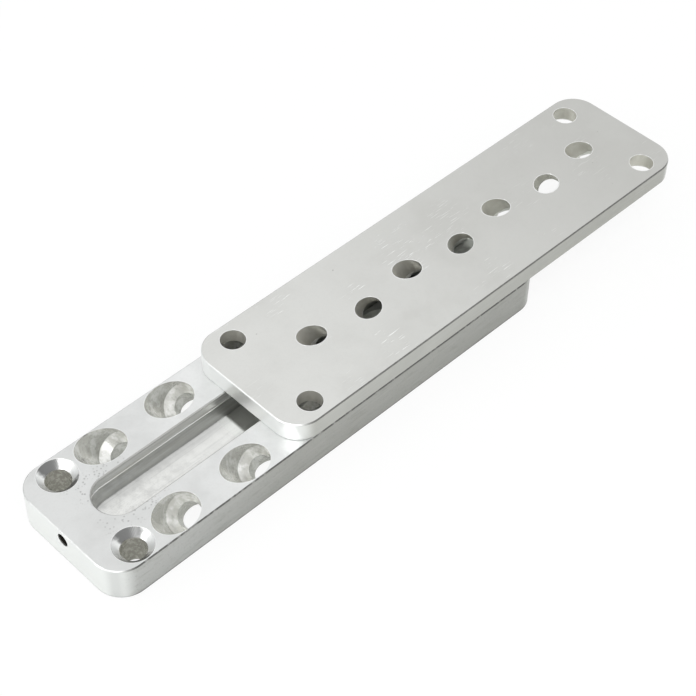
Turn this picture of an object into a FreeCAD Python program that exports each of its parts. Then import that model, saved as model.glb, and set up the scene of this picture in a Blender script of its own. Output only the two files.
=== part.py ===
import FreeCAD, Part
import math
import os

# A slide-together hook connector for timber beams, in millimetres. It is a thick block with a
# closed-ended dovetail groove, and a thinner plate whose dovetail tongue runs in that groove.
# The origin is the middle of the block's back face. +Z points out of the block, through the plate.
# +X runs from the closed end of the groove to its open end, which is the way the plate slides off.

# Both pieces
width = 60.0
corner_radius = 11.4
outer_edge_break = 0.4

# Block
block_length = 222.5
block_thickness = 15.8

# Plate
plate_length = 223.7
plate_thickness = 8.75
slide_out = 85.7              # from the block's end to the plate's end, 0 when the joint is home

# Dovetail
groove_mouth_width = 19.3
groove_depth = 7.15
dovetail_angle = 15.0         # each flank leans this far under, in degrees
groove_end_inset = 25.6       # from the block's end to the centre of the groove's round end
groove_edge_break = 0.5
groove_floor_radius = 0.5
tongue_side_gap = 0.15
tongue_floor_gap = 3.0
tongue_end_gap = 0.3
tongue_edge_break = 0.5

# Countersunk structural screws
screw_hole = 10.2
screw_head = 15.9             # mouth of a countersink
head_bore = 16.3              # counterbore that lets the head down to its seat
head_angle = 90.0

# Straight screws in the corners
corner_inset = 15.0
corner_spacing = 42.8

# Inclined screws of the block, in pairs, one each side of the groove
pair_count = 5
pair_start = 34.95
pair_pitch = 33.1
pair_spacing = 42.6
pair_tilt = 38.0              # from the face's normal, in degrees
pair_swing = 13.0             # every other pair turns in under the groove by this much, in degrees
pair_seat = 9.3               # along the axis, from the block's face to the head's seat

# Inclined screws of the plate, in one zigzag row along the tongue
row_count = 7
row_start = 38.4
row_pitch = 26.2
row_stagger = 4.6
row_tilt = 35.0
row_swing = 17.0
row_hole_length = 10.8        # along the axis, from the plate's face to the head's seat

# Hole for the locking screw, in the block's closed end
lock_hole = 5.4
lock_hole_rise = 2.75         # its axis above the groove's floor

over = 2.0                    # how far a cutting solid stands out of the surface it opens

block_end = -block_length / 2
plate_end = block_end + slide_out
plate_face = block_thickness + plate_thickness
groove_floor = block_thickness - groove_depth
tongue_depth = groove_depth - tongue_floor_gap
tongue_face = block_thickness - tongue_depth
lean = math.tan(math.radians(dovetail_angle))


def slab(end, length, low, thickness):
    """A flat bar with round corners and broken edges, starting at x = end."""
    r = corner_radius
    half = width / 2
    bar = Part.makeBox(length, width, thickness, FreeCAD.Vector(end, -half, low))
    upright = [e for e in bar.Edges if abs(e.tangentAt(e.FirstParameter).z) > 0.9]
    bar = bar.makeFillet(r, upright)
    rims = [e for e in bar.Edges if e.BoundBox.ZLength < outer_edge_break / 10]
    return bar.makeChamfer(outer_edge_break, rims)


def swept_profile(edges, end, length):
    """Half a section in the plane x = end, run along +X on both sides and round the end."""
    face = Part.Face(Part.Wire(edges))
    run = face.extrude(FreeCAD.Vector(length, 0, 0))
    other = run.mirror(FreeCAD.Vector(0, 0, 0), FreeCAD.Vector(0, 1, 0))
    nose = face.revolve(FreeCAD.Vector(end, 0, 0), FreeCAD.Vector(0, 0, 1), 180)
    return run.multiFuse([other, nose]).removeSplitter()


def line(a, b):
    return Part.LineSegment(a, b).toShape()


def floor_corner(corner, radius):
    """The arc between the groove's floor and its leaning flank, with its two ends."""
    inner = math.radians(90 - dovetail_angle)
    reach = radius / math.tan(inner / 2)
    lean_angle = math.radians(dovetail_angle)
    on_floor = corner + FreeCAD.Vector(0, -reach, 0)
    on_flank = corner + FreeCAD.Vector(0, -math.sin(lean_angle), math.cos(lean_angle)) * reach
    centre = on_floor + FreeCAD.Vector(0, 0, radius)
    toward = (corner - centre).normalize()
    arc = Part.Arc(on_floor, centre + toward * radius, on_flank).toShape()
    return on_floor, arc, on_flank


def groove_space():
    """The room that the dovetail cutter clears, open at the block's far end."""
    x = block_end + groove_end_inset
    mouth = groove_mouth_width / 2
    brk = groove_edge_break
    above = over + brk
    corner = FreeCAD.Vector(x, mouth + (groove_depth - brk) * lean, groove_floor)
    on_floor, arc, on_flank = floor_corner(corner, groove_floor_radius)
    middle_low = FreeCAD.Vector(x, 0, groove_floor)
    edge_low = FreeCAD.Vector(x, mouth, block_thickness - brk)
    edge_high = FreeCAD.Vector(x, mouth + above, block_thickness + over)
    middle_high = FreeCAD.Vector(x, 0, block_thickness + over)
    edges = [
        line(middle_low, on_floor),
        arc,
        line(on_flank, edge_low),
        line(edge_low, edge_high),
        line(edge_high, middle_high),
        line(middle_high, middle_low),
    ]
    return swept_profile(edges, x, block_length - groove_end_inset + over)


def tongue():
    """The plate's dovetail, a side gap smaller than the groove, with a round leading end."""
    x = plate_end + groove_end_inset + tongue_end_gap
    brk = tongue_edge_break
    root = groove_mouth_width / 2 - tongue_side_gap
    foot = root + (tongue_depth - brk) * lean
    points = [
        FreeCAD.Vector(x, 0, block_thickness),
        FreeCAD.Vector(x, root, block_thickness),
        FreeCAD.Vector(x, foot, tongue_face + brk),
        FreeCAD.Vector(x, foot - brk, tongue_face),
        FreeCAD.Vector(x, 0, tongue_face),
    ]
    edges = [line(a, b) for a, b in zip(points, points[1:] + points[:1])]
    return swept_profile(edges, x, plate_length - groove_end_inset - tongue_end_gap)


def screw_space(mouth_radius, seat, reach, lead):
    """A screw's room along +Z: head bore down to the seat, cone, then the plain hole to reach."""
    hole = screw_hole / 2
    cone = (mouth_radius - hole) / math.tan(math.radians(head_angle / 2))
    points = [
        FreeCAD.Vector(0, 0, -lead),
        FreeCAD.Vector(mouth_radius, 0, -lead),
        FreeCAD.Vector(mouth_radius, 0, seat),
        FreeCAD.Vector(hole, 0, seat + cone),
        FreeCAD.Vector(hole, 0, reach),
        FreeCAD.Vector(0, 0, reach),
    ]
    half = Part.Face(Part.makePolygon(points + points[:1]))
    return half.revolve(FreeCAD.Vector(0, 0, 0), FreeCAD.Vector(0, 0, 1), 360)


def aimed(solid, start, way):
    """The solid with its own +Z turned to the way given, and its zero at start."""
    turn = FreeCAD.Rotation(FreeCAD.Vector(0, 0, 1), way)
    solid.Placement = FreeCAD.Placement(start, turn)
    return solid


def heading(tilt, swing, down):
    """A unit vector that leans by tilt towards +X and is swung about Z."""
    t = math.radians(tilt)
    s = math.radians(swing)
    return FreeCAD.Vector(math.sin(t) * math.cos(s), math.sin(t) * math.sin(s), -math.cos(t) * down)


def corner_screws(end, length, face, thickness, down):
    """Four straight countersunk holes; the countersinks open in the face given."""
    spaces = []
    for x in (end + corner_inset, end + length - corner_inset):
        for y in (-corner_spacing / 2, corner_spacing / 2):
            space = screw_space(screw_head / 2, 0, thickness + over, 0)
            rim = Part.makeCylinder(screw_head / 2, over, FreeCAD.Vector(0, 0, -over))
            space = space.fuse(rim).removeSplitter()
            way = FreeCAD.Vector(0, 0, -down)
            spaces.append(aimed(space, FreeCAD.Vector(x, y, face), way))
    return spaces


def pair_screws():
    """The block's inclined screws: heads let in from its face, points down and towards +X."""
    spaces = []
    radius = head_bore / 2
    lead = radius * math.tan(math.radians(pair_tilt)) + over
    reach = (block_thickness + over) / math.cos(math.radians(pair_tilt)) + lead
    for k in range(pair_count):
        x = block_end + pair_start + k * pair_pitch
        swing = pair_swing if k % 2 == 0 else 0.0
        for side in (-1, 1):
            start = FreeCAD.Vector(x, side * pair_spacing / 2, block_thickness)
            way = heading(pair_tilt, -side * swing, 1)
            spaces.append(aimed(screw_space(radius, pair_seat, reach, lead), start, way))
    return spaces


def row_screws():
    """The plate's inclined screws: heads let in from the tongue, points up and towards -X."""
    spaces = []
    radius = head_bore / 2
    lead = radius * math.tan(math.radians(row_tilt)) + over
    depth = (plate_thickness + tongue_depth) / math.cos(math.radians(row_tilt))
    cone = (radius - screw_hole / 2) / math.tan(math.radians(head_angle / 2))
    seat = depth - row_hole_length - cone
    for k in range(row_count):
        x = plate_end + row_start + k * row_pitch
        side = 1 if k % 2 == 0 else -1
        down = heading(row_tilt, -side * row_swing, 1)
        mouth = FreeCAD.Vector(x, side * row_stagger / 2, plate_face)
        start = mouth + down * depth
        spaces.append(aimed(screw_space(radius, seat, depth + lead, lead), start, down * -1))
    return spaces


def lock_screw():
    """The locking screw's hole, from the block's closed end into the end of the groove."""
    z = groove_floor + lock_hole_rise
    start = FreeCAD.Vector(block_end - over, 0, z)
    return Part.makeCylinder(lock_hole / 2, groove_end_inset + over, start, FreeCAD.Vector(1, 0, 0))


def groove_block():
    block = slab(block_end, block_length, 0, block_thickness)
    cuts = [groove_space(), lock_screw()]
    cuts += corner_screws(block_end, block_length, block_thickness, block_thickness, 1)
    cuts += pair_screws()
    return block.cut(cuts)


def tongue_plate():
    plate = slab(plate_end, plate_length, block_thickness, plate_thickness)
    plate = plate.fuse(tongue())
    cuts = corner_screws(plate_end, plate_length, block_thickness, plate_thickness, -1)
    cuts += row_screws()
    return plate.cut(cuts)


def save(shape, node):
    print(node, len(shape.Solids), "solid", round(shape.Volume), "mm3", shape.isValid())
    shape.exportStep(os.path.join("parts", node + ".step"))


os.makedirs("parts", exist_ok=True)
save(groove_block(), "groove_block")
save(tongue_plate(), "tongue_plate")
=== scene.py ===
import math

import bpy
import numpy as np
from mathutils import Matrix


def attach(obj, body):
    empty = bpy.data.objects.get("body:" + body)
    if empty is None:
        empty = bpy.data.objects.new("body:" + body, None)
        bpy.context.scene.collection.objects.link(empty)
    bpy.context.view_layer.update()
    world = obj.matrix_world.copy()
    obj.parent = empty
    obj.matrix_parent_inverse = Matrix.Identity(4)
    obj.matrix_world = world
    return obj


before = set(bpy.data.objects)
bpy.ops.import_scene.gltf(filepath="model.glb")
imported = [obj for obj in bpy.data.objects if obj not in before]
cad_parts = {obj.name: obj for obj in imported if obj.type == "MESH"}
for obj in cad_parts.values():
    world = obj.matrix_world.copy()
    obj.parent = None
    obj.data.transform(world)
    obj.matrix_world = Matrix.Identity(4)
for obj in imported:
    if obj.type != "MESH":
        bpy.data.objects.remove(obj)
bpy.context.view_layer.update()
print("frame loaded")

mm = 0.001

# sizes that the finish has to line up with, in millimetres
bar = {"halfWidth": 30.0, "cornerRadius": 11.4, "cornerInset": 15.0, "cornerOffset": 21.4, "skin": 0.05}
block = {
    "length": 222.5, "top": 15.8, "floor": 8.65, "grooveEnd": 25.6,
    "pairStart": 34.95, "pairPitch": 33.1, "pairOffset": 21.3, "pairTilt": 38.0, "pairSwing": 13.0,
    "pairCount": 5, "headRadius": 8.15, "countersink": 7.95, "countersinkDepth": 2.9,
    "grooveReach": 11.9, "grooveFrom": 12.0, "holeReach": 5.3, "lockReach": 2.8, "lockDepth": 15.2,
}
plate = {
    "length": 223.7, "top": 24.55, "under": 15.8, "out": 85.7, "rowStart": 38.4, "rowPitch": 26.2,
    "rowOffset": 2.3, "rowTilt": 35.0, "rowSwing": 17.0, "rowCount": 7, "holeRadius": 5.1,
}
block["end"] = -block["length"] / 2
plate["end"] = block["end"] + plate["out"]
plate["middle"] = plate["end"] + plate["length"] / 2


class Sock:
    """Wraps a value socket, so that arithmetic in Python adds Math nodes."""
    def __init__(self, tree, socket):
        self.tree = tree
        self.socket = socket

    def math(self, operation, *others):
        values = {i: v for i, v in enumerate((self, *others))}
        return self.tree.node("ShaderNodeMath", {"operation": operation}, values)

    def __add__(self, other):
        return self.math("ADD", other)

    def __radd__(self, other):
        return self.math("ADD", other)

    def __sub__(self, other):
        return self.math("SUBTRACT", other)

    def __rsub__(self, other):
        return self.tree.node("ShaderNodeMath", {"operation": "SUBTRACT"}, {0: other, 1: self})

    def __mul__(self, other):
        return self.math("MULTIPLY", other)

    def __truediv__(self, other):
        return self.math("DIVIDE", other)

    def __lt__(self, other):
        return self.math("LESS_THAN", other)

    def __gt__(self, other):
        return self.math("GREATER_THAN", other)

    def abs(self):
        return self.math("ABSOLUTE")

    def sin(self):
        return self.math("SINE")

    def root(self):
        return self.math("SQRT")

    def top(self, other):
        return self.math("MAXIMUM", other)

    def low(self, other):
        return self.math("MINIMUM", other)

    def wrap(self, low, high):
        return self.math("WRAP", low, high)

    def ramp(self, start, end):
        """A smooth step from 0 at start to 1 at end."""
        settings = {"interpolation_type": "SMOOTHSTEP"}
        return self.tree.node("ShaderNodeMapRange", settings, {0: self, 1: start, 2: end})


class Tree:
    """A material's node tree with one method that adds any node."""
    def __init__(self, name):
        self.material = bpy.data.materials.new(name)
        self.material.use_nodes = True
        self.nodes = self.material.node_tree.nodes
        self.links = self.material.node_tree.links
        self.nodes.clear()

    def node(self, kind, settings=None, values=None, output=0):
        made = self.nodes.new(kind)
        for key, value in (settings or {}).items():
            setattr(made, key, value)
        for key, value in (values or {}).items():
            if isinstance(value, Sock):
                self.links.new(value.socket, made.inputs[key])
            else:
                made.inputs[key].default_value = value
        return Sock(self, made.outputs[output])

    def place(self):
        """Sets where, x, y and z, the object coordinates in millimetres."""
        raw = self.node("ShaderNodeTexCoord", output=3)
        self.where = self.node("ShaderNodeVectorMath", {"operation": "SCALE"}, {0: raw, "Scale": 1 / mm})
        parts = self.nodes.new("ShaderNodeSeparateXYZ")
        self.links.new(self.where.socket, parts.inputs[0])
        self.x, self.y, self.z = [Sock(self, parts.outputs[i]) for i in range(3)]

    def noise(self, scale, detail=3.0, rough=0.55, where=None):
        values = {"Vector": where or self.where, "Scale": scale, "Detail": detail, "Roughness": rough}
        return self.node("ShaderNodeTexNoise", None, values)

    def streaks(self, scales, detail=3.0, rough=0.6, turn=0.0):
        """A noise with its own scale along each axis, so that it runs in streaks."""
        values = {0: self.where, "Rotation": (0.0, 0.0, turn), "Scale": scales}
        return self.noise(1.0, detail, rough, self.node("ShaderNodeMapping", None, values))

    def dots(self, scale):
        return self.node("ShaderNodeTexVoronoi", None, {"Vector": self.where, "Scale": scale})

    def mix(self, factor, a, b):
        """Colour a where factor is 0 and b where it is 1."""
        return self.node("ShaderNodeMix", {"data_type": "RGBA"}, {0: factor, 6: a, 7: b}, 2)

    def bump(self, height):
        values = {"Height": height, "Distance": 0.06 * mm, "Strength": 0.55}
        return self.node("ShaderNodeBump", None, values)

    def show(self, shader):
        out = self.nodes.new("ShaderNodeOutputMaterial")
        self.links.new(shader.socket, out.inputs[0])
        return self.material

    def metal(self, values):
        return self.show(self.node("ShaderNodeBsdfPrincipled", None, values))


def grey(level, warm=0.0):
    """A nearly neutral linear colour, a touch green; warm shifts it from blue towards brown."""
    return (level * (1 + warm * 0.4), min(level * 1.012, 1.0), level * (1 - warm * 1.2), 1.0)


def outline(x, y, middle, length):
    """Distance inside a bar's round-cornered outline, 0 at its wall."""
    r = bar["cornerRadius"]
    dx = ((x - middle).abs() - (length / 2 - r)).top(0.0)
    dy = (y.abs() - (bar["halfWidth"] - r)).top(0.0)
    return r - (dx * dx + dy * dy).root()


def roundCorner(far, length):
    """0 on a long side, 1 on an end, turning smoothly round the corner."""
    start = length / 2 - bar["cornerRadius"]
    return far.ramp(start + 1.0, start + bar["cornerRadius"] * 0.8)


def cornerShadeBand(far, length):
    """A soft upright band part of the way round the corner, painted darker as shade."""
    start = length / 2 - bar["cornerRadius"]
    rise = far.ramp(start + 6.0, start + 8.4)
    fall = far.ramp(start + 11.0, start + 9.2)
    return rise * fall * 0.7


def ovalRow(t, row, radius, tilt, swing):
    """How far outside the nearest slanted mouth of a row a point lies, in radii."""
    before = row["start"] - row["pitch"] / 2
    local = (t.x - before).wrap(0.0, row["pitch"]) - row["pitch"] / 2
    dy = t.y - row["offset"]
    c = math.cos(math.radians(swing))
    s = math.sin(math.radians(swing))
    along = (local * c + dy * s) * math.cos(math.radians(tilt))
    across = dy * c - local * s
    far = (along * along + across * across).root() / radius
    inside = ((t.x - before) > 0.0) * ((t.x - (before + row["count"] * row["pitch"])) < 0.0)
    return far + (1 - inside) * 20.0


def roundPair(t, places, radius):
    """The same for the straight corner holes, in pairs at the places given along the bar."""
    found = None
    dy = t.y.abs() - bar["cornerOffset"]
    for place in places:
        dx = t.x - place
        far = (dx * dx + dy * dy).root() / radius
        found = far if found is None else found.low(far)
    return found


def rimMask(far, noise, width):
    """A thin broken line just outside a hole's mouth."""
    return far.ramp(0.985, 1.0) * (far + noise * width).ramp(1.0 + width * 1.1, 1.0 + width * 0.4)


def scratches(t, angle, scale, sharp):
    """Sparse straight hairlines: a noise stretched along one direction, kept only at its peaks."""
    fine = t.streaks((0.11 * scale, 1.9 * scale, 0.05), 2.0, 0.5, angle)
    patch = t.noise(0.05, 2.0, 0.5).ramp(0.52, 0.6)
    return fine.ramp(sharp, sharp + 0.03) * patch


def sharedMarks(t):
    """Marks that the top, the sides and the holes of a piece share."""
    t.fine = t.noise(0.55, 4.0, 0.6)
    t.ragged = t.noise(0.6, 3.0, 0.6)
    t.streak = t.noise(0.22, 3.0, 0.6)
    t.milled = t.streaks((0.03, 2.2, 1.0), 2.0, 0.5)


plateLook = {
    # painted light: the top's two tones, lighter at the near end and darker far along
    "topLit": grey(0.725, 0.014), "topShaded": grey(0.565, 0.022), "cloud": grey(0.62, 0.02),
    # painted highlight: the rim colour, a bright line round the burred mouths
    "grain": grey(0.5, 0.02), "rim": grey(0.93), "hair": grey(0.99), "soil": grey(0.52, 0.03),
    # painted shade: the side tones, darker than the top and darker still far along
    "dot": grey(0.3, 0.03), "side": grey(0.53, 0.03), "sideShaded": grey(0.41, 0.045),
    # painted shade: the dark line just under the top edge
    "sideCloud": grey(0.42, 0.03), "sideMilled": grey(0.58, 0.01), "edge": grey(0.14, 0.03),
    # painted light and shade: the near-white end and the darker band round the corner
    "end": grey(0.97), "corner": grey(0.86), "bore": grey(0.60, 0.07), "boreStreak": grey(0.66, 0.06),
    "boreRing": grey(0.9, 0.02), "under": grey(0.92, 0.02), "topRough": 0.42, "otherRough": 0.36,
}


def plateRims(t):
    """How far outside the nearest of the plate's mouths a point lies, in radii."""
    nearest = None
    for first, side in ((0, 1), (1, -1)):
        row = {
            "start": plate["end"] + plate["rowStart"] + first * plate["rowPitch"],
            "pitch": plate["rowPitch"] * 2, "count": (plate["rowCount"] + 1 - first) // 2,
            "offset": side * plate["rowOffset"],
        }
        far = ovalRow(t, row, plate["holeRadius"], plate["rowTilt"], -side * plate["rowSwing"])
        nearest = far if nearest is None else nearest.low(far)
    inset = bar["cornerInset"]
    ends = (plate["end"] + inset, plate["end"] + plate["length"] - inset)
    return nearest.low(roundPair(t, ends, plate["holeRadius"]))


def plateTop(t, look, along, cloud, dot, hair):
    # painted light: the top shades from lighter at the near end to darker at the far end
    color = t.mix(along.ramp(0.0, 1.0), look["topLit"], look["topShaded"])
    color = t.mix(cloud.ramp(0.35, 0.7) * 0.35, color, look["cloud"])
    color = t.mix((t.fine.ramp(0.35, 0.65) - 0.5).abs() * 0.12, color, look["grain"])
    # painted highlight: a bright broken line just outside each mouth, where the burred rim catches the
    # light
    color = t.mix(rimMask(plateRims(t), t.ragged, 0.14) * 0.85, color, look["rim"])
    color = t.mix(hair * 0.75, color, look["hair"])
    soil = t.noise(0.018, 4.0, 0.65)
    color = t.mix(soil.ramp(0.5, 0.7) * 0.3, color, look["soil"])
    return t.mix(dot * 0.55, color, look["dot"])


def plateSide(t, look, along, cloud):
    far = (t.x - plate["middle"]).abs()
    # painted shade: the side darker than the top, and darker towards the far end
    color = t.mix(along.ramp(0.2, 1.0), look["side"], look["sideShaded"])
    color = t.mix(cloud.ramp(0.3, 0.7) * 0.4, color, look["sideCloud"])
    color = t.mix(t.milled.ramp(0.45, 0.75) * 0.3, color, look["sideMilled"])
    # painted light: the round end painted near white, as a lit face
    color = t.mix(roundCorner(far, plate["length"]), color, look["end"])
    # painted shade: a darker upright band part way round the corner
    color = t.mix(cornerShadeBand(far, plate["length"]), color, look["corner"])
    # painted shade: a dark broken line just under the top edge, off the round ends
    edgeShadeLine = (t.z > plate["top"] - 0.75) * (0.55 + t.ragged * 0.5)
    return t.mix(edgeShadeLine * (1 - roundCorner(far, plate["length"])), color, look["edge"])


def plateMaterial(look):
    t = Tree("plateAluminium")
    t.place()
    sharedMarks(t)
    isTop = t.z > plate["top"] - bar["skin"]
    isUnder = t.z < plate["under"] + bar["skin"]
    wall = outline(t.x, t.y, plate["middle"], plate["length"])
    isWall = (wall < 0.5) * (1 - isTop) * (1 - isUnder)
    isBore = (1 - isTop) * (1 - isWall) * (1 - isUnder)
    along = (t.x - plate["end"]) / plate["length"]
    cloud = t.noise(0.045, 3.0, 0.55)

    hair = scratches(t, 0.62, 1.0, 0.66) + scratches(t, -0.75, 1.2, 0.68) + scratches(t, 1.9, 0.9, 0.68)
    worn = (along - 0.36).abs().ramp(0.34, 0.06)
    hair = hair.low(1.0) * isTop * (0.25 + worn * 0.75)
    dot = t.dots(0.16).ramp(0.07, 0.04) * t.noise(0.11, 1.0, 0.5).ramp(0.58, 0.62) * isTop
    rings = (t.z * 14.0 + t.ragged * 5.0).sin()

    bore = t.mix(t.streak.ramp(0.42, 0.66), look["bore"], look["boreStreak"])
    bore = t.mix(rings.ramp(0.2, 1.0) * 0.2, bore, look["boreRing"])
    color = t.mix(isWall, plateTop(t, look, along, cloud, dot, hair), plateSide(t, look, along, cloud))
    color = t.mix(isBore, color, bore)
    color = t.mix(isUnder, color, look["under"])
    rough = isTop * look["topRough"] + (1 - isTop) * look["otherRough"]
    rough = rough + (t.fine - 0.5) * 0.10 - hair * 0.12
    height = t.fine * 0.3 + rings * isBore * 0.25 - dot * 1.5 + hair * 0.6 + t.milled * isWall * 0.5
    metal = 1.0 - isBore * 0.45 - isUnder * 0.5
    return t.metal({"Base Color": color, "Metallic": metal, "Roughness": rough, "Normal": t.bump(height)})


blockLook = {
    # painted light: the top's two tones, lighter towards the plate
    "top": grey(0.74, -0.004), "topLit": grey(0.85, -0.006), "cloud": grey(0.62), "grain": grey(0.5, 0.02),
    # painted highlight: the rim colour; painted shade: the side tones, darker than the top
    "rim": grey(0.93), "pit": grey(0.36, 0.02), "side": grey(0.40, 0.03), "sideLit": grey(0.48, 0.01),
    "scuff": grey(0.30, 0.05), "speck": grey(0.2, 0.02), "sideMilled": grey(0.55, 0.01),
    # painted light and shade: the lighter end, the darker band round the corner, the dark edge lines and
    # the darker foot of the end
    "end": grey(0.82), "corner": grey(0.62), "edge": grey(0.13, 0.03), "endFootShade": grey(0.3),
    "bore": grey(0.72, 0.03), "boreStreak": grey(0.96, 0.01), "boreTurned": grey(0.42, 0.03),
    # painted reflection: the cone's dark and bright tones
    "boreRing": grey(0.92, 0.01), "coneSheenDark": grey(0.20), "coneSheenBright": grey(0.98),
    # painted shade: the lock hole's near-black inside
    "hole": grey(0.56, 0.06), "holeBright": grey(0.85, 0.04), "lockHoleShade": grey(0.07, 0.15),
    # painted shade: the flank's dark top band
    "flank": grey(0.66, 0.03), "flankBright": grey(0.80), "flankTopShade": grey(0.24, 0.02),
    "floor": grey(0.78, 0.01), "floorDarkSwirl": grey(0.40, 0.01), "floorTrace": grey(0.42),
    # painted light: the near-white floor tone under the plate's end
    "floorShade": grey(0.34), "floorLitUnderPlate": grey(0.97), "rough": 0.36,
}


def blockRims(t):
    """How far outside the nearest of the block's mouths a point lies, in radii."""
    nearest = None
    for side in (-1, 1):
        for first, swing in ((0, -side * block["pairSwing"]), (1, 0.0)):
            row = {
                "start": block["end"] + block["pairStart"] + first * block["pairPitch"],
                "pitch": block["pairPitch"] * 2, "count": (block["pairCount"] + 1 - first) // 2,
                "offset": side * block["pairOffset"],
            }
            far = ovalRow(t, row, block["headRadius"], block["pairTilt"], swing)
            nearest = far if nearest is None else nearest.low(far)
    ends = (block["end"] + bar["cornerInset"], -block["end"] - bar["cornerInset"])
    return nearest.low(roundPair(t, ends, block["countersink"]))


def blockTop(t, look, fromEnd, isTop, pit):
    # painted light: the top turns lighter from the near end towards the plate
    color = t.mix(fromEnd.ramp(30.0, 95.0), look["top"], look["topLit"])
    color = t.mix(t.noise(0.06, 3.0, 0.6).ramp(0.35, 0.7) * 0.5, color, look["cloud"])
    color = t.mix((t.fine.ramp(0.35, 0.65) - 0.5).abs() * 0.15, color, look["grain"])
    # painted highlight: a bright broken line just outside the mouths on the top
    color = t.mix(rimMask(blockRims(t), t.ragged, 0.07) * isTop * 0.6, color, look["rim"])
    return t.mix(pit * 0.55, color, look["pit"])


def blockSide(t, look, fromEnd):
    # painted light and shade: the side darker than the top, lighter near the end and darker further along
    color = t.mix(fromEnd.ramp(20.0, 90.0), look["sideLit"], look["side"])
    scuff = t.streaks((0.09, 0.4, 0.4), 4.0, 0.65)
    color = t.mix(scuff.ramp(0.5, 0.72) * 0.55, color, look["scuff"])
    color = t.mix(t.noise(1.1, 3.0, 0.7).ramp(0.55, 0.68) * 0.35, color, look["speck"])
    color = t.mix(t.milled.ramp(0.5, 0.75) * 0.25, color, look["sideMilled"])
    isEnd = roundCorner(t.x.abs(), block["length"])
    # painted light: the round end painted lighter, as a lit face
    color = t.mix(isEnd, color, look["end"])
    # painted shade: a darker upright band part way round the corner
    color = t.mix(cornerShadeBand(t.x.abs(), block["length"]), color, look["corner"])
    # painted shade: a dark line along the foot where the side meets the floor, a broken dark line under the
    # top edge, and a darker foot on the end
    broken = t.noise(0.3, 3.0, 0.6).ramp(0.3, 0.5)
    footShade = (t.z < 0.9) * 0.75
    topEdgeShade = (t.z > block["top"] - 0.75) * broken * 0.95
    color = t.mix(footShade.top(topEdgeShade) * (1 - isEnd), color, look["edge"])
    return t.mix(footShade * isEnd * 0.35, color, look["endFootShade"])


def blockBore(t, look, fromEnd, rings):
    color = t.mix(t.streak.ramp(0.46, 0.6), look["bore"], look["boreStreak"])
    turned = t.streaks((0.9, 0.12, 0.9), 4.0, 0.7)
    color = t.mix(turned.ramp(0.48, 0.64) * 0.5, color, look["boreTurned"])
    color = t.mix(rings.ramp(0.2, 1.0) * 0.2, color, look["boreRing"])

    # turned cones of the corner countersinks, with a painted sheen: bright and dark arcs painted round each
    # cone as reflection
    aside = t.y.abs() - bar["cornerOffset"]
    inset = (block["length"] / 2 - bar["cornerInset"]) - t.x.abs()
    out = (aside * aside + inset * inset).root()
    paintedSheen = (aside.math("ARCTAN2", inset) * 2.0 + t.streak * 2.5 + t.y * 0.02).sin()
    isCone = (out < block["countersink"] + 0.1) * (t.z > block["top"] - block["countersinkDepth"])
    color = t.mix(isCone, color, t.mix(paintedSheen.ramp(-0.5, 0.45), look["coneSheenDark"], look["coneSheenBright"]))
    isHole = (out < block["holeReach"]) * (1 - isCone)
    hole = t.mix(t.noise(0.7, 3.0, 0.7).ramp(0.45, 0.6), look["hole"], look["holeBright"])
    color = t.mix(isHole, color, hole)
    # painted shade: the inside of the lock hole in the end, painted near black
    isLock = (t.y.abs() < block["lockReach"]) * (fromEnd < block["lockDepth"])
    return t.mix(isLock, color, look["lockHoleShade"])


def grooveFlank(t, look, chatter):
    color = t.mix(chatter.ramp(0.4, 0.7), look["flank"], look["flankBright"])
    # painted shade: the flank painted darker towards the groove's top edge
    flankShadeRamp = t.z.ramp(block["top"] - 2.2, block["top"] - 0.6)
    return t.mix(flankShadeRamp * 0.45, color, look["flankTopShade"])


def grooveFloor(t, look, fromEnd):
    """Darker swirls towards the closed end; painted light under the plate's end, lifting the floor where
    the plate's shadow falls.
    """
    swirl = t.streaks((0.25, 0.25, 0.25), 4.0, 0.65)
    # darker swirls towards the closed end
    towardsEnd = fromEnd.ramp(75.0, 28.0)
    color = t.mix(swirl.ramp(0.38, 0.72) * (0.12 + towardsEnd * 0.3), look["floor"], look["floorDarkSwirl"])
    trace = t.streaks((0.02, 0.9, 1.0), 3.0, 0.6)
    color = t.mix(trace.ramp(0.5, 0.7) * 0.25, color, look["floorTrace"])
    color = t.mix(t.y.ramp(-1.0, 6.0) * 0.5, color, look["floorShade"])
    # painted light: the floor painted near white under the plate's end, where its shadow falls
    return t.mix(fromEnd.ramp(84.0, 94.0) * 0.8, color, look["floorLitUnderPlate"])


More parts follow.
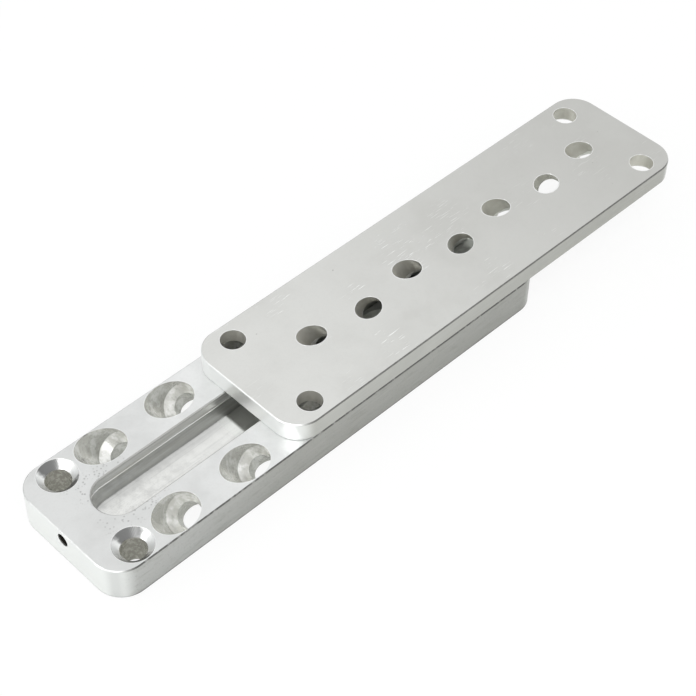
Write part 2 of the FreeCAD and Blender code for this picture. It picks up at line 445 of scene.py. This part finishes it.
def blockMaterial(look):
    t = Tree("blockAluminium")
    t.place()
    sharedMarks(t)
    fromEnd = t.x - block["end"]
    isTop = t.z > block["top"] - bar["skin"]
    isBack = t.z < bar["skin"]
    isWall = (outline(t.x, t.y, 0.0, block["length"]) < 0.5) * (1 - isTop) * (1 - isBack)
    isInside = (1 - isTop) * (1 - isWall) * (1 - isBack)
    isGroove = isInside * (t.y.abs() < block["grooveReach"]) * (fromEnd > block["grooveFrom"])
    isFloor = isGroove * (t.z < block["floor"] + 0.04)
    isFlank = isGroove * (1 - isFloor)
    isBore = isInside * (1 - isGroove)

    # pits beside the groove's round end
    nearEnd = (fromEnd - block["grooveEnd"]).abs().ramp(17.0, 9.0)
    nearEnd = nearEnd * (t.y.abs() - 9.0).abs().ramp(9.0, 3.0)
    pit = t.dots(0.75).ramp(0.34, 0.2) * t.noise(0.22, 2.0, 0.5).ramp(0.42, 0.52) * nearEnd * isTop
    lean = math.radians(block["pairTilt"])
    axial = t.x * math.sin(lean) - t.z * math.cos(lean)
    rings = (axial * 15.0 + t.ragged * 4.0).sin()
    chatter = t.streaks((0.05, 0.9, 1.1), 3.0, 0.6)

    color = t.mix(isWall, blockTop(t, look, fromEnd, isTop, pit), blockSide(t, look, fromEnd))
    color = t.mix(isBore, color, blockBore(t, look, fromEnd, rings))
    color = t.mix(isFlank, color, grooveFlank(t, look, chatter))
    color = t.mix(isFloor, color, grooveFloor(t, look, fromEnd))
    rough = look["rough"] + (t.fine - 0.5) * 0.12 - isFloor * 0.27 - isBore * 0.12 + isTop * 0.02
    height = t.fine * 0.3 + rings * isBore * 0.25 - pit * 2.5 + chatter * isFlank + t.milled * isWall * 0.5
    metal = 1.0 - isBore * 0.3 - isFlank * 0.3
    return t.metal({"Base Color": color, "Metallic": metal, "Roughness": rough, "Normal": t.bump(height)})


def burrMaterial():
    t = Tree("brightBurr")
    t.place()
    color = t.mix(t.noise(0.9, 2.0, 0.5), grey(0.8), grey(0.97))
    return t.metal({"Base Color": color, "Metallic": 1.0, "Roughness": 0.3})


burr = {
    "height": 0.22, "cornerHeight": 0.2, "reach": 35.0, "ringPoints": 120, "sectionPoints": 8,
    "rowSeed": 10, "cornerSeed": 30,
}


def burrRing(x, y, tilt, swing, seed, height):
    """One torn rim: a low ridge along the mouth's oval whose height follows a few summed sines."""
    radius = plate["holeRadius"]
    a = np.linspace(0, 2 * math.pi, burr["ringPoints"], endpoint=False)[:, None]
    b = np.linspace(0, 2 * math.pi, burr["sectionPoints"], endpoint=False)[None, :]
    rng = np.random.default_rng(seed)
    rise = np.full_like(a, 0.35)
    for k in range(3, 15):
        rise += rng.uniform(0, 0.22) * np.sin(k * a + rng.uniform(0, 6.28))
    swell = 0.35 + np.clip(np.cos(a - math.radians(burr["reach"])), 0, 1) ** 2
    rise = np.clip(rise, 0.12, 1.2) * swell * height
    major = radius / math.cos(math.radians(tilt))
    grow = 0.10 + rise * 0.5
    u = (major + grow * np.cos(b) + grow * 0.6) * np.cos(a)
    v = (radius + grow * np.cos(b) + grow * 0.6) * np.sin(a)
    c = math.cos(math.radians(swing))
    s = math.sin(math.radians(swing))
    px = x + u * c - v * s
    py = y + u * s + v * c
    pz = plate["top"] + rise * np.sin(b) * np.ones_like(a)
    return np.stack([px, py, pz], -1).reshape(-1, 3) * mm, (burr["ringPoints"], burr["sectionPoints"])


def closedGrid(rows, columns, offset):
    """Quads of a grid that closes on itself both ways."""
    i, j = np.meshgrid(np.arange(rows), np.arange(columns), indexing="ij")
    i2, j2 = (i + 1) % rows, (j + 1) % columns
    quads = np.stack([i * columns + j, i2 * columns + j, i2 * columns + j2, i * columns + j2], -1)
    return quads.reshape(-1, 4) + offset


def meshPiece(name, rings, material):
    points, quads, offset = [], [], 0
    for vertices, (rows, columns) in rings:
        points.append(vertices)
        quads.append(closedGrid(rows, columns, offset))
        offset += len(vertices)
    data = bpy.data.meshes.new(name)
    data.from_pydata(np.concatenate(points).tolist(), [], np.concatenate(quads).tolist())
    data.shade_smooth()
    data.materials.append(material)
    piece = bpy.data.objects.new(name, data)
    bpy.context.scene.collection.objects.link(piece)
    return piece


def plateRings():
    rings = []
    for k in range(plate["rowCount"]):
        side = 1 if k % 2 == 0 else -1
        x = plate["end"] + plate["rowStart"] + k * plate["rowPitch"]
        swing = -side * plate["rowSwing"]
        seed = burr["rowSeed"] + k
        rings.append(burrRing(x, side * plate["rowOffset"], plate["rowTilt"], swing, seed, burr["height"]))
    for n, x in enumerate((bar["cornerInset"], plate["length"] - bar["cornerInset"])):
        for side in (-1, 1):
            seed = burr["cornerSeed"] + 2 * n + side
            y = side * bar["cornerOffset"]
            rings.append(burrRing(plate["end"] + x, y, 0.0, 0.0, seed, burr["cornerHeight"]))
    return rings


finishes = {"groove_block": blockMaterial(blockLook), "tongue_plate": plateMaterial(plateLook)}
for name, material in finishes.items():
    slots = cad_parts[name].data.materials
    slots.clear()
    slots.append(material)
print("finishes made")

burrs = meshPiece("plateBurrs", plateRings(), burrMaterial())
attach(burrs, "plate")
print("burrs made")

studio = {
    "floorSize": 3.0, "floorTone": 0.93, "shadowKept": 0.12,
    "skyLow": (0.52, 0.53, 0.54, 1.0), "skyHigh": (1.0, 1.0, 1.0, 1.0), "skyLevel": 1.02,
}


def makeFloor(s):
    half = s["floorSize"] / 2
    data = bpy.data.meshes.new("floor")
    corners = [(-half, -half, 0), (half, -half, 0), (half, half, 0), (-half, half, 0)]
    data.from_pydata(corners, [], [(0, 1, 2, 3)])
    floor = bpy.data.objects.new("floor", data)
    bpy.context.scene.collection.objects.link(floor)
    t = Tree("paleFloor")
    matt = t.node("ShaderNodeBsdfDiffuse", None, {"Color": grey(s["floorTone"])})
    glow = t.node("ShaderNodeEmission", None, {"Color": grey(1.0), "Strength": 1.0})
    seen = t.node("ShaderNodeLightPath", output=0)
    through = t.node("ShaderNodeLightPath", output=6)
    shown = seen.top(through) * (1 - s["shadowKept"])
    data.materials.append(t.show(t.node("ShaderNodeMixShader", None, {0: shown, 1: matt, 2: glow})))


def makeSky(s):
    """An even studio sky, a little brighter overhead; the camera sees plain white."""
    world = bpy.data.worlds.new("studioSky")
    bpy.context.scene.world = world
    world.use_nodes = True
    nodes = world.node_tree.nodes
    links = world.node_tree.links
    nodes.clear()
    where = nodes.new("ShaderNodeTexCoord")
    parts = nodes.new("ShaderNodeSeparateXYZ")
    links.new(where.outputs["Generated"], parts.inputs[0])
    blend = nodes.new("ShaderNodeMapRange")
    blend.inputs[1].default_value = 0.05
    blend.inputs[2].default_value = 0.55
    links.new(parts.outputs[2], blend.inputs[0])
    mix = nodes.new("ShaderNodeMix")
    mix.data_type = "RGBA"
    mix.inputs[6].default_value = s["skyLow"]
    mix.inputs[7].default_value = s["skyHigh"]
    links.new(blend.outputs[0], mix.inputs[0])
    soft = nodes.new("ShaderNodeBackground")
    soft.inputs["Strength"].default_value = s["skyLevel"]
    links.new(mix.outputs[2], soft.inputs["Color"])
    plain = nodes.new("ShaderNodeBackground")
    plain.inputs["Color"].default_value = (1, 1, 1, 1)
    path = nodes.new("ShaderNodeLightPath")
    either = nodes.new("ShaderNodeMath")
    either.operation = "MAXIMUM"
    links.new(path.outputs["Is Camera Ray"], either.inputs[0])
    links.new(path.outputs["Is Transmission Ray"], either.inputs[1])
    choose = nodes.new("ShaderNodeMixShader")
    links.new(either.outputs[0], choose.inputs[0])
    links.new(soft.outputs[0], choose.inputs[1])
    links.new(plain.outputs[0], choose.inputs[2])
    out = nodes.new("ShaderNodeOutputWorld")
    links.new(choose.outputs[0], out.inputs[0])


lamps = {
    "keyLamp": {"place": (-0.9, -0.5, 1.1), "size": 0.9, "power": 5.0},
    "endLamp": {"place": (-1.2, 0.3, 0.45), "size": 0.5, "power": 1.5},
}


def softLamp(name, lampLook):
    data = bpy.data.lights.new(name, "AREA")
    data.shape = "DISK"
    data.size = lampLook["size"]
    data.energy = lampLook["power"]
    lamp = bpy.data.objects.new(name, data)
    lamp.location = lampLook["place"]
    away = lamp.location.normalized()
    lamp.rotation_euler = away.to_track_quat("Z", "Y").to_euler()
    bpy.context.scene.collection.objects.link(lamp)


camera = {
    "place": (-0.30623, -0.33500, 0.51894), "turn": (42.798, -0.737, -44.348),
    "lens": 91.365, "sensor": 36.0,
}


def makeCamera(c):
    data = bpy.data.cameras.new("camera")
    data.sensor_width = c["sensor"]
    data.lens = c["lens"]
    made = bpy.data.objects.new("camera", data)
    made.location = c["place"]
    made.rotation_euler = [math.radians(a) for a in c["turn"]]
    bpy.context.scene.collection.objects.link(made)
    bpy.context.scene.camera = made


makeFloor(studio)
makeSky(studio)
for name, lampLook in lamps.items():
    softLamp(name, lampLook)
makeCamera(camera)
bpy.context.scene.view_settings.view_transform = "Standard"
print("studio ready")
